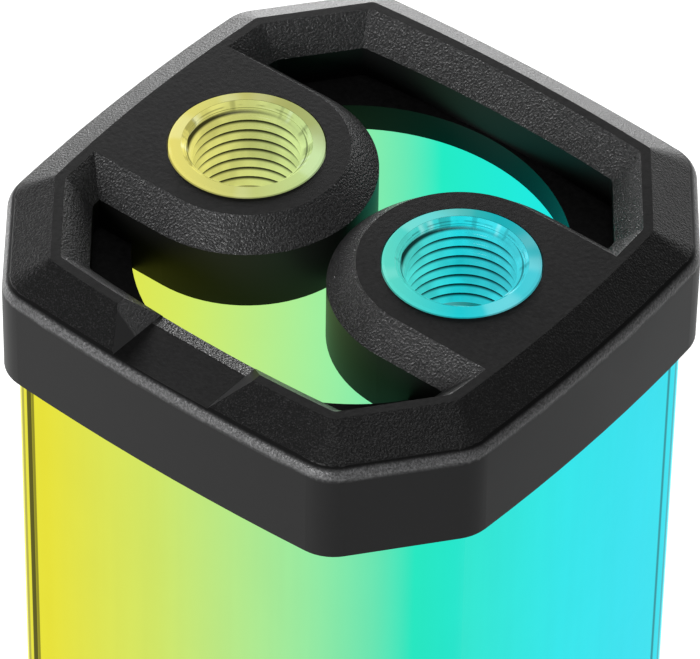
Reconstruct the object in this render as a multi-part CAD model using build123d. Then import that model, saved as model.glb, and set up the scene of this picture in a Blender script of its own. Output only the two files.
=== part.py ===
from build123d import *
import math
import os

# Coolant reservoir with a built-on pump. Millimetres, +Z up, origin on the floor under the centre.
# -Y is the front, where the top cover has its small flat pad; the filling ports lie along X.

# Overall form, shared by the cover, the tank and the pump shroud
total_height = 176.0
half_width = 31.4
corner_leg_x = 9.88
corner_leg_y = 12.51
side_bow = 0.8
core_corner = -0.45
crest_corner = 0.45
corner_radius = 5.0
sharp_radius = 0.9
running_gap = 0.15
fit_gap = 0.05

# Top cover
facet_run = 4.65
facet_drop = 3.06
crest_width = 1.05
bevel_run = 2.9
bevel_drop = 2.9
ledge_drop = 3.83
ledge_thickness = 3.35
skirt_height = 11.52
skirt_edge_radius = 2.0
skirt_wall = 1.85
arm_half_width = 11.0
arm_bevel_run = 3.0
arm_wall = 2.0
arm_roof = 4.7
rim_roof = 4.4
rim_wall = 2.0
cover_hole_radius = 23.25
pad_half_width = 6.25
pad_drop = 2.6
pad_depth = 6.9
pad_end_run = 2.75
pad_chamfer_drop = 0.35
snap_length = 12.0
snap_height = 1.0
snap_depth = 0.45

# Filling ports in the clear lid
port_spacing = 28.8
port_boss_radius = 8.3
port_proud = 0.3
thread_major_radius = 6.58
thread_depth = 12.4
port_mouth_depth = 1.0
port_mouth_radius = 6.98
port_throat_radius = 4.3
lid_rim_thickness = 2.0
lid_thickness = 4.4
seal_width = 1.3
seal_height = 1.6

# Tank
tank_wall = 3.6
tank_floor = 5.0
spout_radius = 9.0
spout_bore_radius = 6.5
spout_length = 5.0
spout_seal_section = 1.3

# Pump shroud and base
foot_height = 3.0
foot_radius = 4.5
foot_recess = 0.4
foot_x = half_width - 7.9
foot_setback = 23.4
foot_y = half_width - foot_setback
post_x = half_width - 8.2
post_y = half_width - 11.9
post_web = 6.0
shroud_lip = 6.0
base_chamfer = 1.2
base_plate_thickness = 4.0
mount_spacing = 30.0
mount_hole_radius = 2.0
mount_boss_radius = 4.0
mount_hole_depth = 8.0
post_radius = 3.0
post_height = 20.0
side_port_hole_radius = 11.0
vent_width = 2.0
vent_height = 15.0
vent_pitch = 4.4
vent_count = 6
vent_low = 11.0
shelf_width = 1.4
shelf_height = 3.0
cable_hole_radius = 4.5
cable_hole_height = 22.0
cable_bore_radius = 2.4
grommet_flange = 1.4
grommet_lip = 1.2

# Pump top
pump_top_height = 23.0
outlet_offset = -9.5
side_port_height = 10.0
side_port_depth = 12.5
channel_radius = 3.6
return_radius = 3.2
spot_face_radius = 10.8
well_radius = 9.2
well_depth = 12.0
impeller_eye_radius = 6.0
chamber_height = 8.0
chamber_setback = 15.0
chamber_radius = half_width - chamber_setback
volute_growth = 3.6
light_recess = 4.0
light_land = 4.5
lamp_count = 12
lamp_size = 2.2
lamp_height = 0.8
lamp_setback = 13.4

# Motor
housing_radius = half_width - 4.9
housing_wall = 3.3
housing_height = 23.0
housing_floor = 2.0
ear_radius = 3.1
ear_height = 6.0
ear_reach = housing_radius + 2.62
ear_x = ear_reach * math.cos(math.radians(34.5))
ear_y = ear_reach * math.sin(math.radians(34.5))
fin_count = 16
fin_depth = 1.2
fin_width = 1.6
cup_radius = housing_radius - 14.2
cup_wall = 0.8
cup_flange_radius = housing_radius - 2.1
cup_flange = 1.5
coil_wall = 1.7
board_thickness = 1.2
board_gap = 1.0
cup_depth = housing_height - housing_floor - board_gap - board_thickness - 0.6
stator_height = cup_depth - 7.2
stator_inner_radius = cup_radius + 0.4
shoe_width = 8.6
tooth_count = 6
tooth_width = 4.2
yoke_width = 3.6
chip_length = 4.0
chip_height = 0.9
thin_chip_height = 0.4
chip_setback = 9.0

# Rotor
impeller_radius = chamber_radius - 1.4
impeller_plate = 1.2
blade_count = 7
blade_height = 4.4
blade_width = 1.1
shroud_disc = 0.9
rotor_air_gap = 0.6
rotor_radius = cup_radius - cup_wall - rotor_air_gap
magnet_inner_radius = 0.6055 * rotor_radius
hub_shoulder = 2.0
nose_height = 3.0
bush_length = 9.0
magnet_height = stator_height + 1.0
shaft_radius = 1.5
bush_radius = 4.0
bearing_clearance = 0.05
rotor_lift = 0.7
post_stub_height = 2.0
washer_thickness = 0.6

# Fasteners
lid_screw_radius = 1.0
lid_screw_head = 1.8
lid_screw_length = 4.2
case_screw_radius = 1.25
case_screw_head = 2.3
pump_screw_radius = 1.5
pump_screw_head = 2.5
screw_head_height = 1.5
tank_screw_reach = 4.0
tank_screw_x = half_width - 12.9
pump_screw_length = 15.0
base_screw_length = 9.0

# Heights worked out from the sizes above
crest_z = total_height - port_proud
skirt_top_z = crest_z - facet_drop
skirt_bottom_z = skirt_top_z - skirt_height
ledge_z = crest_z - bevel_drop - ledge_drop
lid_top_z = ledge_z - ledge_thickness
tank_top_z = lid_top_z - lid_rim_thickness
base_bottom_z = foot_height
base_top_z = base_bottom_z + base_plate_thickness
pump_top_z0 = 37.0
pump_top_z1 = pump_top_z0 + pump_top_height
shroud_top_z = pump_top_z1 + shroud_lip
side_port_z = pump_top_z0 + side_port_height
cup_flange_z = pump_top_z0 - cup_flange
cup_floor_z = pump_top_z0 - cup_depth
housing_z0 = pump_top_z0 - housing_height
inner_inset = skirt_wall + running_gap
wall_inset = inner_inset + tank_wall
port_x = port_spacing / 2


def outline(inset, radius, corner):
    """Square with slanted corners and gently bowed sides, pulled in by inset.

    The slanted corners are pulled in by the value of corner as well."""
    reach = math.hypot(corner_leg_x, corner_leg_y)
    nx = corner_leg_y / reach
    ny = corner_leg_x / reach
    level = nx * (half_width - corner_leg_x) + ny * half_width - inset - corner
    half = half_width - inset
    sx = (level - ny * half) / nx
    sy = (level - nx * half) / ny
    bulge = half + side_bow
    lines = [
        ThreePointArc((-sx, -half), (0, -bulge), (sx, -half)),
        Line((sx, -half), (half, -sy)),
        ThreePointArc((half, -sy), (bulge, 0), (half, sy)),
        Line((half, sy), (sx, half)),
        ThreePointArc((sx, half), (0, bulge), (-sx, half)),
        Line((-sx, half), (-half, sy)),
        ThreePointArc((-half, sy), (-bulge, 0), (-half, -sy)),
        Line((-half, -sy), (-sx, -half)),
    ]
    face = make_face(lines)
    return fillet(face.vertices(), radius)


def rounding(inset):
    """Corner radius that keeps the rounded corners concentric, down to a nearly sharp one."""
    return max(corner_radius - inset, sharp_radius)


def prism(inset, low, high, corner=core_corner):
    """Upright block with the shared outline."""
    face = Pos(0, 0, low) * outline(inset, rounding(inset), corner)
    return extrude(face, amount=high - low, dir=(0, 0, 1))


def tapered(inset_low, low, inset_high, high, corner_low=crest_corner):
    """Straight sloping faces between two of the outlines."""
    lower = Pos(0, 0, low) * outline(inset_low, rounding(inset_low), corner_low)
    upper = Pos(0, 0, high) * outline(inset_high, rounding(inset_high), crest_corner)
    return loft([lower.face(), upper.face()], ruled=True)


def disc(radius, low, high, x=0.0, y=0.0):
    """Upright cylinder between two heights."""
    return Pos(x, y, (low + high) / 2) * Cylinder(radius, high - low)


def bar(start, end, radius):
    """Cylinder between two points."""
    a = Vector(*start)
    b = Vector(*end)
    plane = Plane(origin=a, z_dir=b - a)
    return extrude(plane * Circle(radius), amount=(b - a).length)


def four(x, y):
    """The four mirrored places of a point."""
    return [(x, y), (-x, y), (-x, -y), (x, -y)]


def screw(x, y, seat, length, radius, head_radius, down=True):
    """Pan-head screw; its head lies on the seat and its shank runs down or up from it."""
    sign = -1 if down else 1
    profile = [
        (0, 0),
        (radius, 0),
        (radius, length - radius),
        (0, length),
    ]
    shank = revolve(make_face(Plane.XZ * Polyline(*profile, close=True)), Axis.Z)
    head = Pos(0, 0, -screw_head_height / 2) * Cylinder(head_radius, screw_head_height)
    head -= Pos(0, 0, -screw_head_height) * Cylinder(radius * 0.9, screw_head_height)
    body = shank + head
    if sign < 0:
        body = Rot(180, 0, 0) * body
    return Pos(x, y, seat) * body


def arm_outline(half, side, reach):
    """Flat arm from one side wall, rounded about its port."""
    near = side * port_x
    far = side * reach
    lines = [
        Line((far, -half), (near, -half)),
        ThreePointArc((near, -half), (near - side * half, 0), (near, half)),
        Line((near, half), (far, half)),
        Line((far, half), (far, -half)),
    ]
    return make_face(lines)


def arm(side):
    """Arm with its sloping bevel and upright foot, from the crest down to the lid."""
    reach = half_width - facet_run
    bevel_z = crest_z - bevel_drop
    top = Pos(0, 0, crest_z) * arm_outline(arm_half_width, side, reach)
    low_face = arm_outline(arm_half_width + arm_bevel_run, side, reach)
    slope = loft([(Pos(0, 0, bevel_z) * low_face).face(), top.face()], ruled=True)
    foot = extrude(Pos(0, 0, lid_top_z) * low_face, amount=bevel_z - lid_top_z, dir=(0, 0, 1))
    return slope + foot


def pad_cut():
    """Flat pad let into the front facet, with sloping ends and a chamfer into the well."""
    outer_y = -(half_width + side_bow + 2)
    inner_y = -(half_width + side_bow) + pad_depth
    clear = 1.0
    low_z = crest_z - pad_drop
    high_z = crest_z + clear
    spread = pad_end_run * (pad_drop + clear) / pad_drop
    back_y = -(half_width - facet_run - crest_width - bevel_run) + 2
    middle = (outer_y + back_y) / 2
    depth = back_y - outer_y
    low = Pos(0, middle, low_z) * Rectangle(2 * pad_half_width, depth)
    high = Pos(0, middle, high_z) * Rectangle(2 * (pad_half_width + spread), depth)
    notch = loft([low.face(), high.face()], ruled=True)
    bevel_foot_y = -(half_width - facet_run - crest_width - bevel_run) - side_bow
    slope = pad_chamfer_drop / (bevel_foot_y - inner_y)
    wedge = Polyline(
        (inner_y, low_z),
        (back_y, low_z + 0.01),
        (back_y, low_z - slope * (back_y - inner_y)),
        close=True,
    )
    side = Plane(origin=(-pad_half_width, 0, 0), x_dir=(0, 1, 0), z_dir=(1, 0, 0))
    return notch + extrude(side * make_face(wedge), amount=2 * pad_half_width)


def snap_zone(centre_z):
    """Short stretches at the middle of the four sides where the snap beads sit."""
    wide = 2 * half_width + 10
    along_x = Pos(0, 0, centre_z) * Box(wide, snap_length, snap_height)
    along_y = Pos(0, 0, centre_z) * Box(snap_length, wide, snap_height)
    return along_x + along_y


def snap_beads(centre_z):
    """Beads inside a skirt that click into the tank's groove."""
    low = centre_z - snap_height / 2
    high = centre_z + snap_height / 2
    ring = prism(skirt_wall - fit_gap, low, high) - prism(skirt_wall + snap_depth, low, high)
    return ring & snap_zone(centre_z)


def top_cover():
    """Moulded cover: sloping facets outside, a bevelled well inside and two arms over the ports."""
    block = prism(0, skirt_bottom_z, skirt_top_z, 0)
    rim = tapered(0, skirt_top_z, facet_run, crest_z, 0)
    outer = block + rim
    seam = [e for e in outer.edges() if abs(e.center().Z - skirt_top_z) < 0.01]
    outer = fillet(seam, skirt_edge_radius)
    crest_inset = facet_run + crest_width
    well_inset = crest_inset + bevel_run
    bevel_z = crest_z - bevel_drop
    well = tapered(well_inset, bevel_z, crest_inset, crest_z)
    well += prism(well_inset, ledge_z, bevel_z, crest_corner)
    well += disc(cover_hole_radius, lid_top_z, ledge_z)
    for side in (-1, 1):
        well -= arm(side)
    cover = outer - well - pad_cut()
    cover -= prism(skirt_wall, skirt_bottom_z, lid_top_z)
    rim_top = crest_z - rim_roof
    hollow = prism(skirt_wall, lid_top_z, rim_top)
    hollow -= prism(well_inset - rim_wall, lid_top_z, rim_top, crest_corner)
    cover -= hollow
    arm_top = crest_z - arm_roof
    inner = prism(well_inset, lid_top_z, arm_top, crest_corner)
    for side in (-1, 1):
        face = arm_outline(arm_half_width + arm_bevel_run - arm_wall, side, half_width)
        cavity = extrude(Pos(0, 0, lid_top_z) * face, amount=arm_top - lid_top_z, dir=(0, 0, 1))
        cover -= cavity & inner
        cover -= disc(port_boss_radius + running_gap, lid_top_z, crest_z, side * port_x)
    return cover + snap_beads(tank_groove_z(True))


def tank_groove_z(upper):
    """Height of the snap groove near the tank's upper or lower end."""
    inward = 1.9
    if upper:
        return skirt_bottom_z + inward - 0.4
    return shroud_top_z - inward + 0.4


def lid_screw_places():
    """Eight places along the middle of the tank's wall, two on each side."""
    inset = inner_inset + tank_wall / 2
    half = half_width - inset
    along = 9.5
    sag = side_bow * (1 - (along / (half_width - corner_leg_x)) ** 2)
    places = []
    for sign in (-1, 1):
        for shift in (-along, along):
            places.append((shift, sign * (half + sag)))
            places.append((sign * (half + sag), shift))
    return places


def port_lid():
    """Clear lid: rim plate, sealing spigot and two threaded port bosses."""
    lid = prism(inner_inset, tank_top_z, lid_top_z)
    spigot_bottom = lid_top_z - lid_thickness
    spigot_inset = wall_inset + running_gap
    lid += prism(spigot_inset, spigot_bottom, tank_top_z)
    groove_low = tank_top_z - 0.3 - seal_height
    groove = prism(spigot_inset - 1, groove_low, groove_low + seal_height)
    groove -= prism(spigot_inset + seal_width, groove_low, groove_low + seal_height)
    lid -= groove
    top = crest_z + port_proud
    for side in (-1, 1):
        boss = disc(port_boss_radius, lid_top_z, top, side * port_x)
        boss = chamfer(boss.edges().filter_by(GeomType.CIRCLE).sort_by(Axis.Z)[-1], 0.25)
        lid += boss
    for side in (-1, 1):
        lid -= disc(port_mouth_radius, top - port_mouth_depth, top, side * port_x)
        lid -= disc(thread_major_radius, top - thread_depth, top, side * port_x)
        lid -= disc(port_throat_radius, spigot_bottom, top, side * port_x)
    for x, y in lid_screw_places():
        lid -= disc(lid_screw_radius + fit_gap, tank_top_z, lid_top_z, x, y)
    return lid


def lid_seal():
    """Square-section ring that follows the spigot's groove."""
    low = tank_top_z - 0.3 - seal_height + fit_gap
    high = tank_top_z - 0.3 - fit_gap
    outer = prism(wall_inset + fit_gap, low, high)
    return outer - prism(wall_inset + running_gap + seal_width - fit_gap, low, high)


def lid_screws():
    return [
        screw(x, y, lid_top_z, lid_screw_length, lid_screw_radius, lid_screw_head)
        for x, y in lid_screw_places()
    ]


def tank_screw_places():
    """Near the ends of the front and back sides, outside the light ring's recess."""
    return four(tank_screw_x, half_width - inner_inset - light_land / 2)


def reservoir_tank():
    """Clear tank with bowed sides, a thick floor and a spout into the pump."""
    tank = prism(inner_inset, pump_top_z1, tank_top_z)
    tank -= prism(wall_inset, pump_top_z1 + tank_floor, tank_top_z)
    tank += disc(spout_radius, pump_top_z1 - spout_length, pump_top_z1)
    tank -= disc(spout_bore_radius, pump_top_z1 - spout_length, pump_top_z1 + tank_floor)
    for upper in (True, False):
        centre = tank_groove_z(upper)
        low = centre - snap_height / 2 - fit_gap * 2
        high = centre + snap_height / 2 + fit_gap * 2
        ring = prism(inner_inset - 1, low, high) - prism(inner_inset + snap_depth, low, high)
        tank -= ring
    for x, y in lid_screw_places():
        depth = lid_screw_length - lid_rim_thickness + 0.2
        tank -= disc(lid_screw_radius + fit_gap, tank_top_z - depth, tank_top_z, x, y)
    for x, y in tank_screw_places():
        tank -= disc(case_screw_radius + fit_gap, pump_top_z1, pump_top_z1 + tank_screw_reach, x, y)
    return tank


def spout_seal():
    """Ring seal round the spout, in the well's mouth."""
    section = spout_seal_section
    low = pump_top_z1 - spout_length - section - fit_gap
    ring = disc(well_radius - fit_gap, low, low + section)
    return ring - disc(spout_bore_radius + 0.4, low, low + section)


def side_channel(outline_point, end, radius, z_start, z_end):
    """Sloping passage from a side port to the pump's inside."""
    start = (outline_point[0], outline_point[1], z_start)
    return bar(start, (end[0], end[1], z_end), radius)


def volute_outline():
    """Spiral that widens steadily round the impeller."""
    points = []
    steps = 24
    start = math.radians(200)
    for i in range(steps + 1):
        turn = i / steps
        r = chamber_radius + volute_growth * turn
        a = start - 2 * math.pi * turn
        points.append((r * math.cos(a), r * math.sin(a)))
    curve = Spline(*points)
    return make_face([curve, Line(points[-1], points[0])])


def pump_top():
    """Block under the tank: pump chamber, side ports, inlet well and recess for the light ring."""
    z0 = pump_top_z0
    z1 = pump_top_z1
    block = prism(inner_inset, z0, z1)
    recess = prism(inner_inset + light_land, z1 - light_recess, z1)
    recess -= disc(well_radius + 1.6, z1 - light_recess, z1)
    block -= recess
    well_floor = z1 - well_depth
    block -= disc(well_radius, z1 - spout_length - spout_seal_section - 2 * fit_gap, z1)
    block -= disc(well_radius - 1.2, well_floor, z1)
    block -= disc(impeller_eye_radius, z0, z1)
    chamber_top = z0 + chamber_height
    block -= extrude(Pos(0, 0, z0) * volute_outline(), amount=chamber_height, dir=(0, 0, 1))
    face_y = -(half_width - inner_inset - 0.1)
    block -= bar((outlet_offset, face_y - 3, side_port_z), (outlet_offset, face_y, side_port_z),
                 spot_face_radius)
    block -= bar((3 - face_y, 0, side_port_z), (-face_y, 0, side_port_z), spot_face_radius)
    bore_end = face_y + side_port_depth
    block -= bar((outlet_offset, face_y - 1, side_port_z), (outlet_offset, bore_end, side_port_z),
                 thread_major_radius)
    flow_z = chamber_top - channel_radius - 0.6
    block -= bar((-(chamber_radius + 0.5), 1, flow_z), (outlet_offset - 1, bore_end - 1, flow_z + 1),
                 channel_radius)
    face_x = -face_y
    bore_x = face_x - side_port_depth
    block -= bar((face_x + 1, 0, side_port_z), (bore_x, 0, side_port_z), thread_major_radius)
    block -= bar((bore_x + 1, 0, side_port_z + 2.4), (2, 0, well_floor + channel_radius + 1),
                 return_radius)
    groove = disc(cup_flange_radius - 0.6, z0, z0 + 1.3) - disc(cup_flange_radius - 2.2, z0, z0 + 1.3)
    block -= groove
    for x, y in four(ear_x, ear_y):
        block -= disc(pump_screw_radius + fit_gap, z0, z0 + pump_screw_length - ear_height + 0.3, x, y)
    for x, y in tank_screw_places():
        block -= disc(case_screw_radius + fit_gap, z0, z1, x, y)
        block -= disc(case_screw_head + 0.2, z0, z0 + screw_head_height + 0.8, x, y)
    return block


def tank_screws():
    """Screws from under the pump top into the tank's floor."""
    seat = pump_top_z0 + screw_head_height + 0.8
    length = pump_top_z1 - seat + tank_screw_reach - 0.3
    return [
        screw(x, y, seat, length, case_screw_radius, case_screw_head, down=False)
        for x, y in tank_screw_places()
    ]


def volute_seal():
    low = pump_top_z0 + fit_gap
    high = low + 1.3 - 2 * fit_gap
    return disc(cup_flange_radius - 0.6 - fit_gap, low, high) - disc(
        cup_flange_radius - 2.2 + fit_gap, low, high)


def light_levels():
    """Floor, board top and diffuser floor of the light ring."""
    floor = pump_top_z1 - light_recess + fit_gap
    return floor, floor + board_thickness + 0.3, pump_top_z1 - 1.2


def ring_plate(low, high):
    """Plate that fills the light ring's recess in plan."""
    plate = prism(inner_inset + light_land + running_gap, low, high)
    return plate - disc(well_radius + 1.6 + running_gap, low, high)


def light_board():
    floor, top, lens = light_levels()
    return ring_plate(floor, top)


def lights():
    """Small lamps evenly spaced on the board."""
    floor, top, lens = light_levels()
    reach = half_width - lamp_setback
    lamp = Pos(reach, 0, top + fit_gap + lamp_height / 2) * Box(lamp_size, lamp_size, lamp_height)
    return [Rot(0, 0, 360 / lamp_count * (i + 0.5)) * lamp for i in range(lamp_count)]


def light_diffuser():
    floor, top, lens = light_levels()
    return ring_plate(lens, pump_top_z1 - fit_gap)


def shroud_posts():
    """Screw posts in the corners, each tied to the wall by a web."""
    posts = Part()
    for x, y in four(post_x, post_y):
        top = base_top_z + post_height
        posts += disc(post_radius, base_top_z + fit_gap, top, x, y)
        angle = math.degrees(math.atan2(y / corner_leg_x, x / corner_leg_y))
        web = Pos(post_web / 2, 0, (base_top_z + fit_gap + top) / 2)
        web *= Box(post_web, post_radius / 2, post_height - fit_gap)
        posts += Pos(x, y, 0) * Rot(0, 0, angle) * web
    return posts


def pump_shroud():
    """Outer shell of the pump with port openings, cooling slots and a shelf for the pump top."""
    z0 = base_bottom_z
    shell = prism(0, z0, shroud_top_z, 0)
    low_edges = shell.faces().sort_by(Axis.Z)[0].edges()
    shell = chamfer(low_edges, base_chamfer)
    shell = fillet(shell.faces().sort_by(Axis.Z)[-1].edges(), 0.6)
    room = prism(skirt_wall, z0, shroud_top_z)
    shelf_top = pump_top_z0 - fit_gap
    shelf = prism(skirt_wall - 0.1, shelf_top - shelf_height, shelf_top)
    shelf -= prism(skirt_wall + shelf_width, shelf_top - shelf_height, shelf_top)
    posts = shroud_posts() & prism(skirt_wall - 0.1, z0, shroud_top_z)
    shell = shell - room + shelf + posts
    wall_y = half_width + side_bow
    shell -= bar((outlet_offset, -wall_y - 1, side_port_z), (outlet_offset, -wall_y + 4, side_port_z),
                 side_port_hole_radius)
    shell -= bar((wall_y + 1, 0, side_port_z), (wall_y - 4, 0, side_port_z), side_port_hole_radius)
    shell -= bar((0, wall_y + 1, cable_hole_height), (0, wall_y - 4, cable_hole_height),
                 cable_hole_radius)
    slot = Pos(0, 0, vent_low + vent_height / 2) * Box(8, vent_width, vent_height)
    for i in range(vent_count):
        shift = (i - (vent_count - 1) / 2) * vent_pitch
        shell -= Pos(wall_y, shift, 0) * slot
        shell -= Pos(-wall_y, shift, 0) * slot
    for x, y in four(post_x, post_y):
        shell -= disc(case_screw_radius + fit_gap, z0, base_top_z + base_screw_length, x, y)
    return shell + snap_beads(tank_groove_z(False))


def base_plate():
    """Bottom cover with foot recesses and four threaded mounting bosses."""
    plate = prism(inner_inset, base_bottom_z, base_top_z)
    for x, y in four(mount_spacing / 2, mount_spacing / 2):
        plate += disc(mount_boss_radius, base_top_z, base_bottom_z + mount_hole_depth + 1, x, y)
        plate -= disc(mount_hole_radius, base_bottom_z, base_bottom_z + mount_hole_depth, x, y)
    for x, y in four(foot_x, foot_y):
        plate -= disc(foot_radius + fit_gap, base_bottom_z, base_bottom_z + foot_recess, x, y)
    for x, y in four(post_x, post_y):
        plate -= disc(case_screw_head + 0.2, base_bottom_z, base_screw_seat(), x, y)
        plate -= disc(case_screw_radius + fit_gap, base_bottom_z, base_top_z, x, y)
    return plate


def base_screw_seat():
    return base_bottom_z + screw_head_height + 0.3


def base_screws():
    return [
        screw(x, y, base_screw_seat(), base_screw_length, case_screw_radius, case_screw_head, down=False)
        for x, y in four(post_x, post_y)
    ]


def rubber_feet():
    feet = []
    for x, y in four(foot_x, foot_y):
        foot = disc(foot_radius, 0, base_bottom_z + foot_recess - fit_gap, x, y)
        rim = foot.edges().filter_by(GeomType.CIRCLE).sort_by(Axis.Z)[0]
        feet.append(fillet(rim, 0.8))
    return feet


def cable_grommet():
    """Rubber bush in the back wall, with a lip on each side of it."""
    outer_y = half_width + side_bow + fit_gap
    inner_y = half_width + side_bow - skirt_wall - 0.1
    z = cable_hole_height
    body = bar((0, inner_y - grommet_lip, z), (0, outer_y + grommet_flange, z), cable_hole_radius - fit_gap)
    body += bar((0, outer_y, z), (0, outer_y + grommet_flange, z), cable_hole_radius + 1.5)
    body += bar((0, inner_y - grommet_lip, z), (0, inner_y, z), cable_hole_radius + 1.0)
    body -= bar((0, inner_y - 3, z), (0, outer_y + 3, z), cable_bore_radius)
    return body


def motor_housing():
    """Finned can of the motor, open at the top, with four screw ears."""
    z1 = pump_top_z0 - fit_gap
    body = disc(housing_radius, housing_z0, z1)
    for x, y in four(ear_x, ear_y):
        body += disc(ear_radius, z1 - ear_height, z1, x, y)
        angle = math.degrees(math.atan2(y, x))
        reach = math.hypot(x, y)
        bridge = Pos(reach - 3, 0, z1 - ear_height / 2) * Box(6, 2 * ear_radius, ear_height)
        body += Rot(0, 0, angle) * bridge
    inner = housing_radius - housing_wall
    body -= disc(inner, housing_z0 + housing_floor + board_gap, z1)
    body -= disc(inner - 1.5, housing_z0 + housing_floor, z1)
    body -= disc(cup_flange_radius + running_gap, z1 - cup_flange - fit_gap, z1)
    fin_low = housing_z0
    fin_high = z1 - ear_height - 2
    notch = Pos(housing_radius, 0, (fin_low + fin_high) / 2) * Box(
        2 * fin_depth, fin_width, fin_high - fin_low)
    for i in range(fin_count):
        body -= Rot(0, 0, 360 / fin_count * (i + 0.5)) * notch
    for x, y in four(ear_x, ear_y):
        body -= disc(pump_screw_radius + fit_gap, z1 - ear_height, z1, x, y)
    return body


def pump_screws():
    seat = pump_top_z0 - fit_gap - ear_height
    return [
        screw(x, y, seat, pump_screw_length, pump_screw_radius, pump_screw_head, down=False)
        for x, y in four(ear_x, ear_y)
    ]


def separation_cup():
    """Thin cup that keeps the coolant off the stator, with a stub for the shaft."""
    flange_top = pump_top_z0 - fit_gap
    cup = disc(cup_flange_radius, flange_top - cup_flange, flange_top)
    cup += disc(cup_radius, cup_floor_z, flange_top)
    floor = cup_floor_z + 1.5
    cup -= disc(cup_radius - cup_wall, floor, flange_top)
    cup += disc(3.2, floor, floor + post_stub_height)
    cup -= disc(shaft_radius + 0.02, cup_floor_z + 0.6, floor + post_stub_height)
    return cup


def bearing_shaft():
    low = cup_floor_z + 0.6 + fit_gap
    pin = disc(shaft_radius, low, pump_top_z0 - 2.0)
    return chamfer(pin.edges().filter_by(GeomType.CIRCLE), 0.2)


def washer_level():
    return cup_floor_z + 1.5 + post_stub_height + 0.02


def thrust_washer():
    low = washer_level()
    return disc(3.2, low, low + washer_thickness) - disc(shaft_radius + bearing_clearance, low,
                                                         low + washer_thickness)


def rotor_level():
    """Underside of the bush, which rides just above the washer."""
    return washer_level() + washer_thickness + 0.05


def bearing_bush():
    low = rotor_level()
    high = low + bush_length
    return disc(bush_radius, low, high) - disc(shaft_radius + bearing_clearance, low, high)


def rotor_magnet():
    low = cup_floor_z + 1.5 + rotor_lift
    return disc(rotor_radius, low, low + magnet_height) - disc(magnet_inner_radius, low, low + magnet_height)


def impeller():
    """Closed impeller with swept blades and a hub that reaches down through the magnet."""
    plate_low = pump_top_z0 + 0.7
    plate_high = plate_low + impeller_plate
    blade_high = plate_high + blade_height
    hub_radius = magnet_inner_radius - fit_gap
    hub_low = cup_floor_z + 1.5 + rotor_lift
    wheel = disc(impeller_radius, plate_low, plate_high)
    wheel += disc(hub_radius, hub_low, plate_high)
    shoulder_low = hub_low + magnet_height + fit_gap
    wheel += disc(hub_radius + hub_shoulder, shoulder_low, plate_high)
    start = impeller_eye_radius - 1.6
    sweep_angle = math.radians(58)
    outer = impeller_radius - 0.4
    middle = (start + outer) / 2
    arc = ThreePointArc(
        (start, 0),
        (middle * math.cos(sweep_angle * 0.36), middle * math.sin(sweep_angle * 0.36)),
        (outer * math.cos(sweep_angle), outer * math.sin(sweep_angle)),
    )
    blade = extrude(Pos(0, 0, plate_high - 0.1) * trace(arc, blade_width), amount=blade_height + 0.2,
                    dir=(0, 0, 1))
    for i in range(blade_count):
        wheel += Rot(0, 0, 360 / blade_count * i) * blade
    ring = disc(impeller_radius, blade_high, blade_high + shroud_disc)
    ring -= disc(impeller_eye_radius - 0.5, blade_high, blade_high + shroud_disc)
    wheel += ring
    nose_radius = 3.4
    nose_top = plate_high + nose_height
    nose = revolve(make_face(Plane.XZ * Polyline(
        (0, plate_high), (nose_radius, plate_high), (0.8, nose_top), (0, nose_top),
        close=True)), Axis.Z)
    wheel += nose
    wheel -= disc(bush_radius + 0.02, hub_low, pump_top_z0 - 1.0)
    return wheel


def stator_levels():
    low = housing_z0 + housing_floor + board_gap + board_thickness + 2.4
    return low, low + stator_height


def stator_core():
    """Ring of six teeth with spread pole faces."""
    low, high = stator_levels()
    outer = housing_radius - housing_wall - fit_gap
    yoke_inner = outer - yoke_width
    core = disc(outer, low, high) - disc(yoke_inner, low, high)
    length = yoke_inner - stator_inner_radius + 1.0
    tooth = Pos(stator_inner_radius + length / 2, 0, (low + high) / 2) * Box(
        length, tooth_width, high - low)
    shoe = disc(stator_inner_radius + 1.2, low, high) - disc(stator_inner_radius, low, high)
    shoe &= Pos(stator_inner_radius, 0, (low + high) / 2) * Box(4, shoe_width, high - low)
    pole = (tooth - disc(stator_inner_radius, low, high)) + shoe
    for i in range(tooth_count):
        core += Rot(0, 0, 360 / tooth_count * i) * pole
    return core


def stator_coils():
    """Wound coils, one round each tooth."""
    low, high = stator_levels()
    outer = housing_radius - housing_wall - fit_gap - yoke_width
    near = stator_inner_radius + 1.2 + 0.15
    gap = 0.1
    side = tooth_width / 2 + coil_wall + gap
    far = math.sqrt(outer ** 2 - side ** 2) - 0.15
    length = far - near
    tall = high - low + 2 * coil_wall
    coil = Box(length, tooth_width + 2 * (coil_wall + gap), tall + 2 * gap)
    coil = fillet(coil.edges().filter_by(Axis.X), 1.2)
    coil -= Box(length, tooth_width + 2 * gap, high - low + 2 * gap)
    coil = Pos((near + far) / 2, 0, (low + high) / 2) * coil
    return [Rot(0, 0, 360 / tooth_count * i) * coil for i in range(tooth_count)]


def board_level():
    return housing_z0 + housing_floor + board_gap + fit_gap


def control_board():
    low = board_level()
    return disc(housing_radius - housing_wall - 0.1, low, low + board_thickness)


def board_parts():
    """Driver chips and capacitors on the control board."""
    low = board_level() + board_thickness + fit_gap
    parts = []
    outer = housing_radius - chip_setback
    for angle in (30, 150, 270):
        chip = Box(chip_length * 0.75, chip_length, chip_height)
        parts.append(Rot(0, 0, angle) * Pos(outer, 0, low + chip_height / 2) * chip)
    for angle in (90, 210, 330):
        chip = Box(chip_length, chip_length, thin_chip_height)
        parts.append(Rot(0, 0, angle) * Pos(outer / 2.7, 0, low + thin_chip_height / 2) * chip)
    return parts


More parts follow.
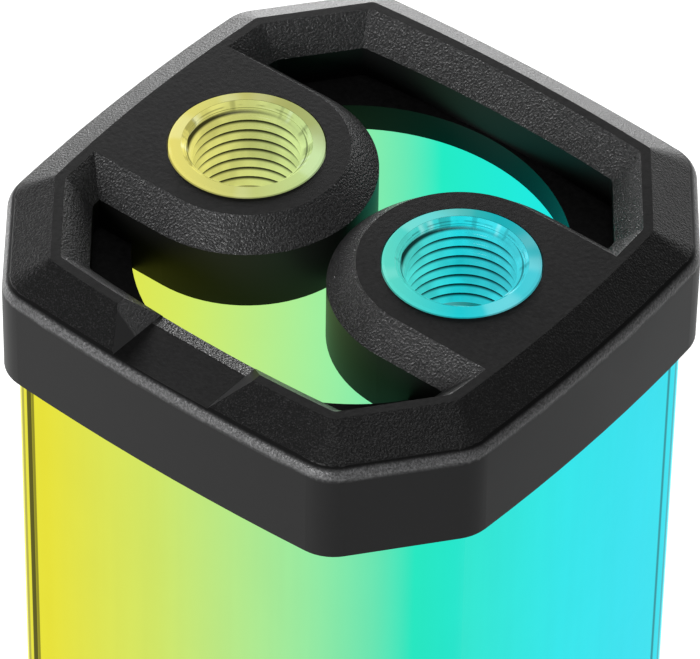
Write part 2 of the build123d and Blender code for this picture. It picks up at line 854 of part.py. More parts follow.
PIECES = {
    "top_cover": top_cover,
    "port_lid": port_lid,
    "lid_seal": lid_seal,
    "lid_screws": lid_screws,
    "reservoir_tank": reservoir_tank,
    "spout_seal": spout_seal,
    "light_diffuser": light_diffuser,
    "lights": lights,
    "light_board": light_board,
    "pump_top": pump_top,
    "tank_screws": tank_screws,
    "pump_shroud": pump_shroud,
    "base_plate": base_plate,
    "base_screws": base_screws,
    "rubber_feet": rubber_feet,
    "cable_grommet": cable_grommet,
    "motor_housing": motor_housing,
    "pump_screws": pump_screws,
    "volute_seal": volute_seal,
    "separation_cup": separation_cup,
    "stator_core": stator_core,
    "stator_coils": stator_coils,
    "control_board": control_board,
    "board_parts": board_parts,
    "bearing_shaft": bearing_shaft,
    "thrust_washer": thrust_washer,
    "impeller": impeller,
    "rotor_magnet": rotor_magnet,
    "bearing_bush": bearing_bush,
}

os.makedirs("parts", exist_ok=True)
for name, build in PIECES.items():
    shape = build()
    if isinstance(shape, list):
        shape = Compound(children=[s.solid() if hasattr(s, "solid") else s for s in shape])
    export_step(shape, "parts/" + name + ".step")
    print(name, "written")
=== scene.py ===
import math

import bmesh
import bpy
import numpy as np
from mathutils import Matrix, Vector


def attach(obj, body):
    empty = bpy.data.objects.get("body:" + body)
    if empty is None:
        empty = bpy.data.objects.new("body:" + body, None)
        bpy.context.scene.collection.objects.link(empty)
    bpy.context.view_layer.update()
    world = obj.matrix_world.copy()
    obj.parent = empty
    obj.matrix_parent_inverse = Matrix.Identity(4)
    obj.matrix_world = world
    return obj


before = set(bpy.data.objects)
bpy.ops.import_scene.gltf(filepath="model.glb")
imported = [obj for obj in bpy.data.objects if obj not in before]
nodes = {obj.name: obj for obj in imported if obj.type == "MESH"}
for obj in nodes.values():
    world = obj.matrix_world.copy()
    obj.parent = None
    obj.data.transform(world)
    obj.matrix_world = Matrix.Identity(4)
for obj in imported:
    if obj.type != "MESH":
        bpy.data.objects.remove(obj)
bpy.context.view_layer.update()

MM = 0.001
ACROSS = (1, 0, 0)
DEEP = (0, 1, 0)
UP = (0, 0, 1)
WHITE = (1, 1, 1, 1)

# Sizes that the CAD holds too, in millimetres
TOP = 176.0
CREST = 175.7
LID_TOP = 165.62
PORT_X = 14.4
THREAD_RADIUS = 6.58
SIDE_PORT_HEIGHT = 47.0
SIDE_PORT_FACE = 29.3
SIDE_PORT_OFFSET = -9.5
INCH_THREAD_PITCH = 1.337


class Value:
    """A number carried along a node tree; arithmetic on it adds Math nodes."""

    def __init__(self, tree, socket):
        self.tree = tree
        self.socket = socket

    def maths(self, operation, *terms):
        made = self.tree.node("Math", {"operation": operation}, dict(enumerate(terms)))
        return self.tree.number(made.outputs[0])

    def __add__(self, other):
        return self.maths("ADD", self, other)

    __radd__ = __add__

    def __sub__(self, other):
        return self.maths("SUBTRACT", self, other)

    def __rsub__(self, other):
        return self.maths("SUBTRACT", other, self)

    def __mul__(self, other):
        return self.maths("MULTIPLY", self, other)

    __rmul__ = __mul__

    def __truediv__(self, other):
        return self.maths("DIVIDE", self, other)

    def __pow__(self, other):
        return self.maths("POWER", self, other)

    def __abs__(self):
        return self.maths("ABSOLUTE", self)

    def larger(self, other):
        return self.maths("MAXIMUM", self, other)

    def sine(self):
        return self.maths("SINE", self)


class Tree:
    """A node tree, with the one method that adds any node to it."""

    def __init__(self, tree):
        self.tree = tree
        self.tree.nodes.clear()

    def node(self, kind, settings=None, feeds=None):
        """One node with its settings, and the values or links of its sockets."""
        made = self.tree.nodes.new("ShaderNode" + kind)
        for key, value in (settings or {}).items():
            if key == "stops":
                self.set_stops(made.color_ramp, value)
            else:
                setattr(made, key, value)
        for key, value in (feeds or {}).items():
            socket = made.inputs[key]
            if isinstance(value, Value):
                self.tree.links.new(value.socket, socket)
            elif isinstance(value, bpy.types.NodeSocket):
                self.tree.links.new(value, socket)
            else:
                socket.default_value = value
        return made

    @staticmethod
    def set_stops(ramp, stops):
        while len(ramp.elements) < len(stops):
            ramp.elements.new(1.0)
        for element, (position, colour) in zip(ramp.elements, stops):
            element.position = position
            element.color = colour

    def number(self, socket):
        return Value(self, socket)


class Finish(Tree):
    """The node tree of one material, with the masks and patterns that the finishes share."""

    def __init__(self, name):
        self.material = bpy.data.materials.new(name)
        self.material.use_nodes = True
        super().__init__(self.material.node_tree)
        self.output = self.node("OutputMaterial")
        self.place = self.node("TexCoord").outputs["Object"]

    def along(self, direction):
        """How far the surface point lies along a direction, in millimetres."""
        direction = tuple(c / MM for c in direction)
        made = self.node("VectorMath", {"operation": "DOT_PRODUCT"}, {0: self.place, 1: direction})
        return self.number(made.outputs["Value"])

    def facing(self, direction):
        """Cosine between the surface normal and a direction of the object's own axes."""
        normal = self.node("TexCoord").outputs["Normal"]
        made = self.node("VectorMath", {"operation": "DOT_PRODUCT"}, {0: normal, 1: direction})
        return self.number(made.outputs["Value"])

    def grain(self, size_mm, detail=2.0, rough=0.55, stretch=None, source=None):
        """Noise whose lumps are about size_mm across, from 0 to 1."""
        source = source or self.place
        if stretch:
            source = self.node("Mapping", None, {"Vector": source, "Scale": stretch}).outputs[0]
        made = self.node(
            "TexNoise",
            None,
            {"Vector": source, "Scale": 1.0 / (size_mm * MM), "Detail": detail, "Roughness": rough},
        )
        return self.number(made.outputs[0])

    def step(self, value, low, high):
        """Smooth 0 to 1 as the value goes from low to high."""
        made = self.node(
            "MapRange",
            {"interpolation_type": "SMOOTHSTEP"},
            {"Value": value, "From Min": low, "From Max": high},
        )
        return self.number(made.outputs[0])

    def band(self, value, low, high, soft):
        """1 between low and high, falling to 0 over soft on each side."""
        return self.step(value, low - soft, low) * (1.0 - self.step(value, high, high + soft))

    def blend(self, factor, first, second):
        """Colour that goes from the first to the second as the factor goes from 0 to 1."""
        made = self.node("Mix", {"data_type": "RGBA"}, {0: factor, 6: first, 7: second})
        return made.outputs[2]

    def scaled(self, colour, tone):
        """Colour made lighter or darker by a factor that varies over the surface."""
        made = self.node("VectorMath", {"operation": "SCALE"}, {0: colour, "Scale": tone})
        return made.outputs[0]

    def bumped(self, height, depth_mm):
        """Normal of a surface whose relief is depth_mm high where the height is 1."""
        made = self.node(
            "Bump", None, {"Height": height, "Distance": depth_mm * MM, "Strength": 1.0}
        )
        return made.outputs[0]

    def done(self, feeds, second=None, share=None):
        """Ends the tree with one surface, or with a second one mixed in by share."""
        skin = self.node("BsdfPrincipled", None, feeds)
        if second:
            other = self.node("BsdfPrincipled", None, second)
            skin = self.node("MixShader", None, {0: share, 1: skin.outputs[0], 2: other.outputs[0]})
        self.tree.links.new(skin.outputs[0], self.output.inputs[0])
        return self.material


def linear(code):
    """Linear colour from a hexadecimal screen colour."""
    channels = [int(code[i:i + 2], 16) / 255 for i in (0, 2, 4)]
    bent = [c / 12.92 if c <= 0.04045 else ((c + 0.055) / 1.055) ** 2.4 for c in channels]
    return (*bent, 1.0)


def shade(colour, amount):
    """A constant colour made lighter or darker."""
    return tuple(c * amount for c in colour[:3]) + (1.0,)


# Camera, as fitted to the photograph; lengths in millimetres
CAMERA_AZIMUTH = math.radians(38.149)
CAMERA_ELEVATION = math.radians(43.098)
CAMERA_ROLL = math.radians(0.999)
CAMERA_DISTANCE = 703.54
CAMERA_LENS = 340.66
TARGET_BELOW_CREST = 18.15
TARGET_ACROSS = -0.116
TARGET_RAISED = 0.098


def place_camera():
    """Camera on a line through a target inside the cover, rolled about that line."""
    a, e, roll = CAMERA_AZIMUTH, CAMERA_ELEVATION, CAMERA_ROLL
    forward = Vector((-math.sin(a) * math.cos(e), math.cos(a) * math.cos(e), -math.sin(e)))
    right = Vector((math.cos(a), math.sin(a), 0.0))
    up = right.cross(forward)
    right_rolled = right * math.cos(roll) + up * math.sin(roll)
    up_rolled = up * math.cos(roll) - right * math.sin(roll)
    target = Vector((0, 0, CREST - TARGET_BELOW_CREST))
    target = (target + right_rolled * TARGET_ACROSS + up_rolled * TARGET_RAISED) * MM
    data = bpy.data.cameras.new("camera")
    data.sensor_fit = "HORIZONTAL"
    data.sensor_width = 36.0
    data.lens = CAMERA_LENS
    data.clip_start = 0.01
    data.clip_end = 20.0
    camera = bpy.data.objects.new("camera", data)
    turn = Matrix((right_rolled, up_rolled, -forward)).transposed()
    place = Matrix.Translation(target - forward * CAMERA_DISTANCE * MM)
    camera.matrix_world = place @ turn.to_4x4()
    bpy.context.scene.collection.objects.link(camera)
    bpy.context.scene.camera = camera


# Each lamp's direction from the cover and its power in watts; lengths in metres
LAMPS = {
    "lamp_front": ((0.0, -1.0, 0.30), 5.8),
    "lamp_left_back": ((-0.70, 0.70, 0.20), 5.4),
    "lamp_back_low": ((-0.50, 0.86, 0.0), 2.4),
    "lamp_left_low": ((-1.0, -0.12, -0.03), 2.4),
    "lamp_back": ((0.0, 1.0, 0.25), 1.0),
    "lamp_top": ((0.0, 0.0, 1.0), 1.5),
}
LAMP_DISTANCE = 0.9
LAMP_SIDE = 0.35
LAMP_AIM_HEIGHT = 0.15
ROOM_LIGHT = 0.03
ROOM_IN_REFLECTIONS = 0.12
FLOOR_REACH = 6.0
FLOOR_GREY = 0.80
FLOOR_GLOW = 0.60


def softbox(name, direction, energy):
    """Square lamp at a distance along a direction from the cover, facing it."""
    data = bpy.data.lights.new(name, "AREA")
    data.shape = "SQUARE"
    data.size = LAMP_SIDE
    data.energy = energy
    lamp = bpy.data.objects.new(name, data)
    aim = Vector(direction).normalized()
    lamp.location = aim * LAMP_DISTANCE + Vector((0, 0, LAMP_AIM_HEIGHT))
    lamp.rotation_euler = aim.to_track_quat("Z", "Y").to_euler()
    bpy.context.scene.collection.objects.link(lamp)


def light_room():
    """Soft lamps round the object and a dim world that the camera itself sees as white, clear
    pieces too, and polished ones faintly, so that black plastic stays black."""
    for name, (direction, energy) in LAMPS.items():
        softbox(name, direction, energy)
    world = bpy.data.worlds.new("room")
    bpy.context.scene.world = world
    world.use_nodes = True
    room = Tree(world.node_tree)
    rays = room.node("LightPath").outputs
    seen = room.number(rays["Is Camera Ray"]).larger(room.number(rays["Is Transmission Ray"]))
    seen = seen + room.number(rays["Is Glossy Ray"]) * ROOM_IN_REFLECTIONS
    dim = room.node("Background", None, {"Color": WHITE, "Strength": ROOM_LIGHT})
    white = room.node("Background", None, {"Color": WHITE, "Strength": 1.0})
    both = room.node("MixShader", None, {0: seen, 1: dim.outputs[0], 2: white.outputs[0]})
    room.node("OutputWorld", None, {0: both.outputs[0]})


def lay_floor():
    """Large pale floor that still shows the object's shadow."""
    reach = FLOOR_REACH
    mesh = bpy.data.meshes.new("floor")
    corners = [(-reach, -reach, 0), (reach, -reach, 0), (reach, reach, 0), (-reach, reach, 0)]
    mesh.from_pydata(corners, [], [(0, 1, 2, 3)])
    floor = bpy.data.objects.new("floor", mesh)
    bpy.context.scene.collection.objects.link(floor)
    finish = Finish("pale_floor")
    rays = finish.node("LightPath").outputs
    seen = finish.number(rays["Is Camera Ray"])
    seen = seen.larger(finish.number(rays["Is Glossy Ray"]))
    seen = seen.larger(finish.number(rays["Is Transmission Ray"]))
    grey = (FLOOR_GREY, FLOOR_GREY, FLOOR_GREY, 1)
    skin = finish.node("BsdfDiffuse", None, {"Color": grey})
    glow = finish.node("Emission", None, {"Color": WHITE, "Strength": seen * FLOOR_GLOW})
    both = finish.node("AddShader", None, {0: skin.outputs[0], 1: glow.outputs[0]})
    finish.tree.links.new(both.outputs[0], finish.output.inputs[0])
    mesh.materials.append(finish.material)


def make_piece(name, points, faces, material):
    """New smooth mesh piece at the origin that rides on the body."""
    mesh = bpy.data.meshes.new(name)
    mesh.from_pydata((points * MM).tolist(), [], faces.tolist())
    mesh.validate()
    piece = bpy.data.objects.new(name, mesh)
    bpy.context.scene.collection.objects.link(piece)
    mesh.materials.append(material)
    mesh.polygons.foreach_set("use_smooth", [True] * len(mesh.polygons))
    mesh.update()
    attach(piece, "body")
    return piece


def grid_faces(rows, columns, ring=False):
    """Quads between neighbouring points of a grid whose columns close into a tube; ring closes
    its rows too."""
    r = np.arange(rows if ring else rows - 1)[:, None]
    c = np.arange(columns)[None, :]
    ahead = (r + 1) % rows
    after = (c + 1) % columns
    corners = [r * columns + c, r * columns + after, ahead * columns + after, ahead * columns + c]
    return np.stack(corners, -1).reshape(-1, 4)


# Ridge of a thread: its height as a share of the pitch, and its section from one flank to the
# other, as shares of that height and of half the pitch
RIDGE_HEIGHT = 0.61
RIDGE_REACH = np.array([-0.06, 0.04, 0.42, 0.84, 0.96, 1.0, 0.96, 0.84, 0.42, 0.04, -0.06])
RIDGE_SHIFT = np.array([-0.98, -0.92, -0.72, -0.42, -0.22, 0.0, 0.22, 0.42, 0.72, 0.92, 0.98])
RIDGE_ROOT = 0.08
STEPS_PER_TURN = 64
TURNS_TO_SWELL = 0.2
TURNS_TO_FADE = 0.5
COUNTERSINK = 0.45

# Depths at which a thread starts, and lengths, in millimetres
FILLING_THREAD = (-0.20, 11.7)
SIDE_THREAD = (0.3, 11.2)


def screw_thread(name, mouth, outward, start, length, material, slot):
    """Internal inch thread as one ridge that winds down a bore.

    The ridge's section is a rounded triangle of flank angle 55 degrees, carried along the helix
    (r cos t, r sin t, -pitch t / 2 pi) with its first turn's upper edge at the start depth, which
    is above the mouth where it is negative. Its height swells from nothing over the first fifth of
    a turn and dies away over the last half, and no part of it stands inside the 45 degree
    countersink r = radius + COUNTERSINK - depth."""
    pitch = INCH_THREAD_PITCH
    half = pitch / 2
    turns = length / pitch
    steps = int(turns * STEPS_PER_TURN)
    turn = np.linspace(0, turns, steps)
    swell = np.minimum(turn / TURNS_TO_SWELL, (turns - turn) / TURNS_TO_FADE)
    swell = np.clip(swell, 0.02, 1)
    swell = (swell * swell * (3 - 2 * swell))[:, None]
    angle = (2 * np.pi * turn)[:, None]
    z = -start - pitch * turn[:, None] + RIDGE_SHIFT * half * (0.3 + 0.7 * swell) - half
    r = THREAD_RADIUS - RIDGE_HEIGHT * pitch * RIDGE_REACH * swell
    r = np.maximum(r, np.minimum(THREAD_RADIUS + COUNTERSINK + z, THREAD_RADIUS))
    r = np.where(RIDGE_REACH < 0, THREAD_RADIUS + RIDGE_ROOT, r)
    axis = np.array(outward, float)
    side = np.cross(axis, ACROSS if abs(axis[1]) > 0.9 else DEEP)
    side /= np.linalg.norm(side)
    other = np.cross(axis, side)
    points = (
        np.array(mouth, float)
        + (r * np.cos(angle))[..., None] * side
        + (r * np.sin(angle))[..., None] * other
        + z[..., None] * axis
    ).reshape(-1, 3)
    columns = len(RIDGE_REACH)
    piece = make_piece(name, points, grid_faces(steps, columns), material)
    cap_ends(piece.data, columns, steps)


# Section of a filling port's mouth: radii, and depths below the top
MOUTH_RADII = np.array([6.96, 6.93, 6.86, 6.72, 6.52, 6.45, 6.45, 6.52, 6.56, 6.96])
MOUTH_DEPTHS = np.array([0.05, 0.06, 0.14, 0.30, 0.50, 0.58, 0.66, 0.74, 1.02, 0.98])
MOUTH_STEPS = 160


def port_mouth(name, x, material):
    """Countersunk mouth inside a port's rim.

    The section runs from the rim's inner edge down a slope of about 45 degrees to the thread's
    root, on down the bore's wall and back up outside; it is turned about the port's axis."""
    turn = np.linspace(0, 2 * np.pi, MOUTH_STEPS, endpoint=False)[:, None]
    shape = (MOUTH_STEPS, len(MOUTH_RADII))
    points = np.stack(
        [
            x + np.cos(turn) * MOUTH_RADII,
            np.sin(turn) * MOUTH_RADII,
            np.broadcast_to(TOP - MOUTH_DEPTHS, shape),
        ],
        -1,
    ).reshape(-1, 3)
    make_piece(name, points, grid_faces(*shape, ring=True), material)


def cap_ends(mesh, columns, steps):
    """Closes the two ends of a carried section, then turns all faces outwards."""
    work = bmesh.new()
    work.from_mesh(mesh)
    work.verts.ensure_lookup_table()
    last = (steps - 1) * columns
    for first in (0, last):
        work.faces.new([work.verts[first + i] for i in range(columns)])
    bmesh.ops.recalc_face_normals(work, faces=work.faces)
    for face in work.faces:
        face.smooth = True
    work.to_mesh(mesh)
    work.free()


# The light from below: its colours by millimetres along its direction, for the tank and plate
# and for the two filling ports
LIGHT_ANGLE = math.radians(38)
LIGHT_DIRECTION = (math.cos(LIGHT_ANGLE), math.sin(LIGHT_ANGLE), 0.0)
LIGHT_SPAN = 34.0
LIGHT_COLOURS = [
    (-32, "EAE430"),
    (-20, "D3E964"),
    (-4, "98EDA2"),
    (3, "69E8B4"),
    (7, "24EAC3"),
    (23, "1EE7EC"),
    (31, "1EE1F0"),
]
PORT_COLOURS = [
    (-20, "E9DD74"),
    (-11, "C2C878"),
    (-3, "C0DE98"),
    (3, "62D9C4"),
    (11, "20CAD3"),
    (20, "50CEDB"),
]
# Colour of the painted highlights on the ports' rims and in their mouths
PAINTED_GLEAM_COLOUR = "E4F6F4"

# The cut corners' own direction, and how far out the tank's corner lies along it
CORNER_ACROSS = 0.7847
CORNER_ALONG = 0.6198
TANK_CORNER = 34.62

# Painted shade: dark lines that refraction through the tank's corners shows, painted on its walls:
# where each starts and ends behind the corner, how soft its edges are, in millimetres, and how dark
# it is
LEFT_LINES = [(0.10, 0.30, 0.07, 0.50), (0.68, 1.10, 0.07, 0.88), (1.18, 1.40, 0.05, 0.66)]
RIGHT_LINES = [(0.10, 0.24, 0.07, 0.45), (0.84, 0.98, 0.12, 0.62)]


def lamp_colour(finish, colours, shift=0.0):
    """Colour of the light from below, from yellow at one corner to blue-green at the other."""
    span = 2 * LIGHT_SPAN
    where = (finish.along(LIGHT_DIRECTION) - shift) / span + 0.5
    stops = [((t + LIGHT_SPAN) / span, linear(code)) for t, code in colours]
    return finish.node("ValToRGB", {"stops": stops}, {"Fac": where}).outputs[0]


def port_distance(finish):
    """Distance from the nearer filling port's axis, in millimetres."""
    across = abs(finish.along(ACROSS)) - PORT_X
    deep = finish.along(DEEP)
    return (across * across + deep * deep) ** 0.5


def round_port(finish, reach):
    """The point at the same angle on a circle of 6.5 mm about the nearer port's axis, so that a
    pattern read there runs in streaks from the axis outwards."""
    across = (abs(finish.along(ACROSS)) - PORT_X) / reach
    deep = finish.along(DEEP) / reach
    made = finish.node("CombineXYZ", None, {0: across * 6.5 * MM, 1: deep * 6.5 * MM})
    return made.outputs[0]


def dark_lines(finish, depth, lines):
    """Sum of soft lines of painted shade, each from one depth to another."""
    bands = [finish.band(depth, low, high, soft) * dark for low, high, soft, dark in lines]
    return sum(bands[1:], bands[0])


def lit_tank():
    """Clear acrylic wall and plate with a painted glow for the light from below, painted dark
    refraction lines near its corners, and the ports' bosses in a paler painted glow of their own
    colours, with painted highlight streaks round their rims."""
    finish = Finish("edge_lit_acrylic")
    height = finish.along(UP)
    up = abs(finish.facing(UP))
    plate = finish.step(up, 0.6, 0.8)
    side = 1.0 - finish.step(up, 0.3, 0.6)
    wall = 1.0 - finish.step(up, 0.2, 0.5)
    # Painted shade: dark refraction lines behind the corners, painted on the side walls
    depth = TANK_CORNER - abs(finish.along((CORNER_ACROSS, CORNER_ALONG, 0)))
    right = finish.step(finish.along(LIGHT_DIRECTION), -1.0, 1.0)
    lines = dark_lines(finish, depth, LEFT_LINES) * (1.0 - right)
    lines = lines + dark_lines(finish, depth, RIGHT_LINES) * right
    clear = 1.0 - side * lines
    apart = port_distance(finish)
    boss = 1.0 - finish.step(apart, 8.40, 8.46)
    boss = boss * finish.step(height, LID_TOP + 0.2, LID_TOP + 0.6)
    bore_floor = 1.0 - finish.step(apart, 6.62, 6.75)
    bore_floor = bore_floor * finish.step(height, LID_TOP - 4.0, LID_TOP - 3.0)
    boss = boss.larger(bore_floor)
    rear = finish.step(finish.along(DEEP), 3.0, 6.5)
    cloud = finish.grain(11.0, 3.0, 0.5)
    streak = finish.grain(1.6, 2.0, 0.5, stretch=(1.0, 1.0, 0.03))
    round_rim = finish.grain(5.5, 1.0, 0.5, source=round_port(finish, apart))
    # Painted highlight: pale glassy streaks round the ports' rims, paler in colour and a little
    # brighter
    painted_gleam = finish.step(round_rim, 0.52, 0.60) * boss
    tank_light = lamp_colour(finish, LIGHT_COLOURS, plate * 2.4)
    port_light = lamp_colour(finish, PORT_COLOURS, rear * 4.0)
    shown = finish.blend(boss, tank_light, port_light)
    shown = finish.blend(painted_gleam * 0.12, shown, linear(PAINTED_GLEAM_COLOUR))
    # The emission is a painted glow standing in for the light from the lamps below. It is painted
    # darker on the side walls, and darker still on the bosses, their walls and their rear, as
    # painted shade. Its cloud and streaks are painted refraction.
    tone = (1.04 - side * 0.07 + (cloud - 0.5) * 0.06 + (streak - 0.5) * side * 0.05) * clear
    tone = tone * (1.0 - boss * (0.14 + wall * 0.35 + rear * 0.26)) * (1.0 + painted_gleam * 0.08)
    return finish.done(
        {
            "Base Color": finish.scaled(shown, (0.01 + boss * 0.22) * clear),
            "Emission Color": finish.scaled(shown, tone),
            "Emission Strength": 0.98,
            "Roughness": 0.12 + cloud * 0.10,
            "Specular IOR Level": 0.03,
            "Normal": finish.bumped(finish.grain(3.0), 0.02),
        }
    )


def lit_thread():
    """The same acrylic inside a filling port, with a painted glow: bright lands, painted shadow in
    the grooves between them, and painted glassy highlights, painted shade patches and two dark
    bands of painted shade in the countersunk mouth."""
    finish = Finish("acrylic_thread")
    reach = port_distance(finish)
    height = finish.along(UP)
    mouth = finish.step(height, TOP - 1.2, TOP - 0.9)
    # Painted shadow: the grooves between the lands are darkened
    groove = finish.step(reach, 6.00, 6.30) * (1.0 - finish.step(reach, 6.62, 6.7))
    groove = groove * (1.0 - mouth)
    cloud = finish.grain(1.8, 3.0, 0.6, stretch=(1.0, 1.0, 0.25))
    facet = finish.step(finish.grain(4.0, 1.0, 0.4), 0.45, 0.62)
    circle = round_port(finish, reach)
    # Painted highlights and painted shade patches in the mouth, in streaks round the port's axis
    painted_glint = finish.step(finish.grain(3.6, 2.0, 0.6, source=circle), 0.56, 0.64) * mouth
    painted_shade_patch = finish.step(finish.grain(2.2, 2.0, 0.6, source=circle), 0.56, 0.64) * mouth
    # Painted shade: two dark bands in the mouth, the upper one broken up by noise
    band_breakup = finish.step(finish.grain(2.0, 2.0, 0.6), 0.40, 0.60)
    painted_mouth_shade = finish.band(height, TOP - 0.44, TOP - 0.38, 0.04) * band_breakup * 0.5
    painted_mouth_shade = painted_mouth_shade + finish.band(height, TOP - 0.78, TOP - 0.66, 0.04) * 0.72
    colour = finish.blend(painted_glint * 0.24, lamp_colour(finish, PORT_COLOURS), linear(PAINTED_GLEAM_COLOUR))
    # The emission is a painted glow standing in for the light from the lamps below
    tone = 0.90 + facet * 0.24 + (cloud - 0.5) * 0.40 + painted_glint * 0.12
    tone = tone * (1.0 - groove * 0.95) * (1.0 - painted_mouth_shade) * (1.0 - painted_shade_patch * 0.40)
    return finish.done(
        {
            "Base Color": finish.scaled(colour, (1.0 - groove * 0.9) * 0.25),
            "Emission Color": finish.scaled(colour, tone),
            "Emission Strength": 0.88,
            "Roughness": 0.16 + cloud * 0.12,
            "Specular IOR Level": 0.12,
            "Normal": finish.bumped(finish.grain(0.9), 0.03),
        }
    )


# Cosines between the normal and upright that tell the cover's kinds of face apart
LEVEL_FACE = (0.96, 0.985)
BEVEL_FACE = (0.68, 0.76)
FACET_FACE = (0.81, 0.87)
UPRIGHT_FACE = (0.05, 0.25)
COVER_EDGE_FACE = (0.30, 0.80)
SHELL_EDGE_FACE = (0.12, 0.95)

# Places on the cover, in millimetres
PAD_HALF_WIDTH = (6.25, 6.35)
PAD_RIM_DEEP = (-25.30, -23.3)
PAD_RIM_HEIGHT = (CREST - 3.2, CREST - 2.62)
NOTCH_DEEP = (-24.0, -23.5)
NOTCH_HEIGHT = (CREST - 3.2, CREST - 3.0)
LEFT_CHEEK = (-12.0, -5.0)
RIGHT_CHEEK = (5.0, 12.0)
CORNER_FURTHER_OUT = 4.95
OUTER_BAND = (27.6, 28.0)
COVER_EDGE_HEIGHT = (CREST - 5.4, CREST - 3.0)


def cover_places(finish, up, bevel):
    """The bevel's grain with the pad's rim added and the smooth cheek and outer faces taken out,
    the rounded outer edge's mask for grain and painted highlight, and the painted light that lifts
    the cheek left of the pad."""
    height = finish.along(UP)
    across = finish.along(ACROSS)
    deep = finish.along(DEEP)
    tilt = finish.facing(ACROSS)
    pad_rim = (
        (1.0 - finish.step(abs(across), *PAD_HALF_WIDTH))
        * finish.band(deep, *PAD_RIM_DEEP, 0.05)
        * finish.band(height, *PAD_RIM_HEIGHT, 0.03)
    )
    notch = (1.0 - finish.step(deep, *NOTCH_DEEP)) * finish.step(height, *NOTCH_HEIGHT)
    left_cheek = finish.step(tilt, 0.35, 0.45) * finish.band(across, *LEFT_CHEEK, 0.5) * notch
    right_cheek = 1.0 - finish.step(tilt, -0.45, -0.35)
    right_cheek = right_cheek * finish.band(across, *RIGHT_CHEEK, 0.5) * notch
    reach = abs(across).larger(abs(deep))
    corner = abs(across) * CORNER_ACROSS + abs(deep) * CORNER_ALONG - CORNER_FURTHER_OUT
    outside = finish.step(reach.larger(corner), *OUTER_BAND)
    bevel = bevel.larger(pad_rim) * (1.0 - right_cheek) * (1.0 - outside)
    edge = finish.band(up, *COVER_EDGE_FACE, 0.24)
    edge = edge * finish.band(height, *COVER_EDGE_HEIGHT, 0.35) * outside
    # Painted light: the cheek left of the pad is lifted where the lamps leave it in shadow
    return bevel, edge, left_cheek * 0.045


def black_plastic(name, is_cover):
    """Black moulded plastic: satin walls, faintly dimpled flats, leathery spark-erosion grain in
    the bevels, a painted highlight speckled with that grain on the rounded upper edge, and a trace
    of the grain with small painted glints on the outer facets."""
    finish = Finish(name)
    up = finish.facing(UP)
    level = finish.step(up, *LEVEL_FACE)
    bevel = finish.band(up, *BEVEL_FACE, 0.02)
    facet = finish.band(up, *FACET_FACE, 0.02)
    upright = 1.0 - finish.step(abs(up), *UPRIGHT_FACE)
    ripple = finish.grain(0.24, 1.5, 0.5)
    fine = finish.grain(0.16, 2.0, 0.6)
    patches = finish.grain(16.0, 3.0, 0.55)
    drift = finish.grain(5.0, 2.0, 0.5)
    dimple = finish.grain(0.45, 2.0, 0.5)
    lump = finish.step(ripple, 0.40, 0.62)
    # Painted highlight: sparse glints for the outer facets
    painted_glint = finish.step(fine, 0.53, 0.68)
    speckle = finish.step(finish.grain(0.28, 3.0, 0.7), 0.38, 0.64)
    if is_cover:
        bevel, edge, painted_cheek_light = cover_places(finish, up, bevel)
    else:
        edge = finish.band(up, *SHELL_EDGE_FACE, 0.06)
        painted_cheek_light = 0.0
    bevel = bevel * (1.0 - edge)
    grained = bevel.larger(edge) + facet * 0.35
    # Painted highlight: the rounded edge is made much lighter and speckled with grain, and the
    # outer facets get painted glints
    tone = 0.006 + bevel * (0.010 + lump * 0.026) + edge * (0.048 + speckle * 0.085)
    tone = tone + facet * painted_glint * 0.030 + (patches - 0.3) * 0.004
    tone = tone + upright * 0.006 + level * (dimple - 0.5) * 0.012 + painted_cheek_light
    tone = tone.larger(0.002)
    depth = bevel + edge * 0.7 + facet * 0.65 + upright * 0.03 + level * 0.02
    relief = ripple * depth + dimple * level * 0.12 + drift * facet * 0.5
    black = finish.node("CombineColor", None, {0: tone, 1: tone, 2: tone * 1.02})
    smooth = {
        "Base Color": black.outputs[0],
        "Roughness": 0.42 + facet * 0.06 + (patches - 0.5) * 0.10 + (dimple - 0.5) * level * 0.10,
        "Specular IOR Level": 0.12,
        "Normal": finish.bumped(relief, 0.15),
    }
    rippled = dict(smooth)
    rippled["Roughness"] = 0.36 + (fine - 0.5) * 0.20
    rippled["Specular IOR Level"] = 0.55
    return finish.done(smooth, rippled, grained)


COLOUR_SPREAD = 0.15
PATCHES_PER_GRAIN = 24


def plain_finish(name, code, rough, metal=0.0, grain_mm=0.5, depth_mm=0.01, stretch=None):
    """One material with grain, slow colour drift and a roughness that follows both."""
    finish = Finish(name)
    base = linear(code)
    fine = finish.grain(grain_mm, 3.0, 0.6, stretch)
    slow = finish.grain(grain_mm * PATCHES_PER_GRAIN, 3.0, 0.5)
    mixed = fine * 0.5 + slow * 0.5
    dark, light = shade(base, 1 - COLOUR_SPREAD), shade(base, 1 + COLOUR_SPREAD)
    return finish.done(
        {
            "Base Color": finish.blend(mixed, dark, light),
            "Metallic": metal,
            "Roughness": rough + (mixed - 0.5) * 0.25,
            "Normal": finish.bumped(fine, depth_mm),
        }
    )


def ringed_metal(name, code, rough, pitch_mm):
    """Turned metal with fine rings about the upright axis."""
    finish = Finish(name)
    base = linear(code)
    x = finish.along(ACROSS)
    y = finish.along(DEEP)
    ring = ((x * x + y * y) ** 0.5 * (2 * math.pi / pitch_mm)).sine()
    slow = finish.grain(6.0, 3.0)
    return finish.done(
        {
            "Base Color": finish.blend(slow, shade(base, 0.85), shade(base, 1.1)),
            "Metallic": 1.0,
            "Roughness": rough + (slow - 0.5) * 0.2,
            "Normal": finish.bumped(ring * 0.5 + slow, 0.01),
        }
    )


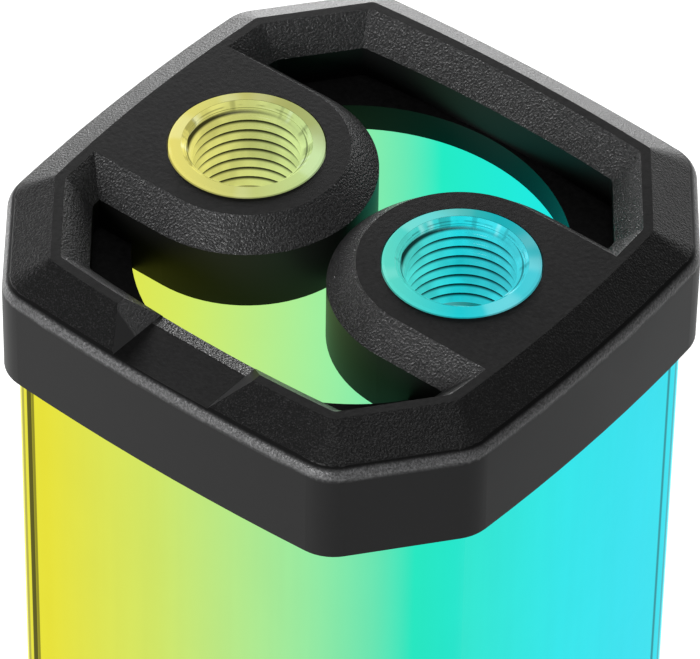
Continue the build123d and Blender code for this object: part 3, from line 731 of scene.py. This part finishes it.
def paint_nodes():
    """Gives every CAD node the material of the piece that it is."""
    cover = black_plastic("grained_black_plastic", True)
    shell = black_plastic("black_shroud_plastic", False)
    acrylic = lit_tank()
    steel = ringed_metal("turned_stainless_steel", "A8A8AA", 0.28, 0.12)
    seal = plain_finish("smooth_seal_rubber", "1A1A1A", 0.55, grain_mm=0.3)
    rubber = plain_finish("matt_foot_rubber", "222222", 0.75, grain_mm=0.25, depth_mm=0.03)
    looks = {
        "top_cover": cover,
        "pump_shroud": shell,
        "base_plate": shell,
        "port_lid": acrylic,
        "reservoir_tank": acrylic,
        "lid_seal": seal,
        "spout_seal": seal,
        "volute_seal": seal,
        "lid_screws": steel,
        "tank_screws": steel,
        "pump_screws": steel,
        "base_screws": steel,
        "rubber_feet": rubber,
        "cable_grommet": rubber,
        "pump_top": plain_finish("machined_black_acetal", "262627", 0.38, grain_mm=0.4,
                                 stretch=(0.1, 0.1, 1.0)),
        "light_diffuser": plain_finish("frosted_light_ring", "E4EAE8", 0.6, grain_mm=0.2),
        "light_board": plain_finish("black_circuit_board", "10201A", 0.35, grain_mm=1.0),
        "lights": plain_finish("lamp_body_white", "F0EED8", 0.3, grain_mm=0.3),
        "motor_housing": plain_finish("bead_blasted_aluminium", "B4B6B8", 0.42, metal=1.0,
                                      grain_mm=0.15, depth_mm=0.03),
        "separation_cup": plain_finish("moulded_cup_plastic", "2E2E2E", 0.45),
        "stator_core": plain_finish("laminated_steel", "6E6E72", 0.45, metal=1.0, grain_mm=0.3,
                                    depth_mm=0.03, stretch=(0.05, 0.05, 1.0)),
        "stator_coils": plain_finish("enamelled_copper_wire", "B4642E", 0.3, metal=0.8,
                                     grain_mm=0.3, depth_mm=0.05, stretch=(1.0, 1.0, 0.1)),
        "control_board": plain_finish("green_circuit_board", "123A26", 0.35, grain_mm=1.0),
        "board_parts": plain_finish("chip_moulding", "1C1C1C", 0.5, grain_mm=0.2),
        "bearing_shaft": plain_finish("polished_ceramic_shaft", "E6E4DC", 0.15),
        "thrust_washer": plain_finish("polished_ceramic_washer", "DEDCD4", 0.2),
        "impeller": plain_finish("moulded_white_rotor", "D6D6D0", 0.4, grain_mm=0.4),
        "rotor_magnet": plain_finish("bonded_magnet", "303032", 0.6, grain_mm=0.15, depth_mm=0.02),
        "bearing_bush": plain_finish("ground_carbon", "202022", 0.35, grain_mm=0.2),
    }
    for name, node in nodes.items():
        for place in node.material_slots:
            place.material = looks[name]
    return looks


def cut_threads(acetal):
    """Threads in the two filling ports, with their mouths, and in the pump's two side ports."""
    bore = lit_thread()
    for side, label in ((-1, "left"), (1, "right")):
        x = side * PORT_X
        port_mouth("mouth_" + label, x, bore)
        screw_thread("thread_" + label, (x, 0, TOP), UP, *FILLING_THREAD, bore, "clear_acrylic")
    screw_thread("thread_front", (SIDE_PORT_OFFSET, -SIDE_PORT_FACE, SIDE_PORT_HEIGHT), (0, -1, 0),
                 *SIDE_THREAD, acetal, "black_acetal")
    screw_thread("thread_side", (SIDE_PORT_FACE, 0, SIDE_PORT_HEIGHT), ACROSS,
                 *SIDE_THREAD, acetal, "black_acetal")


place_camera()
light_room()
lay_floor()
looks = paint_nodes()
cut_threads(looks["pump_top"])

bpy.context.scene.view_settings.view_transform = "Standard"
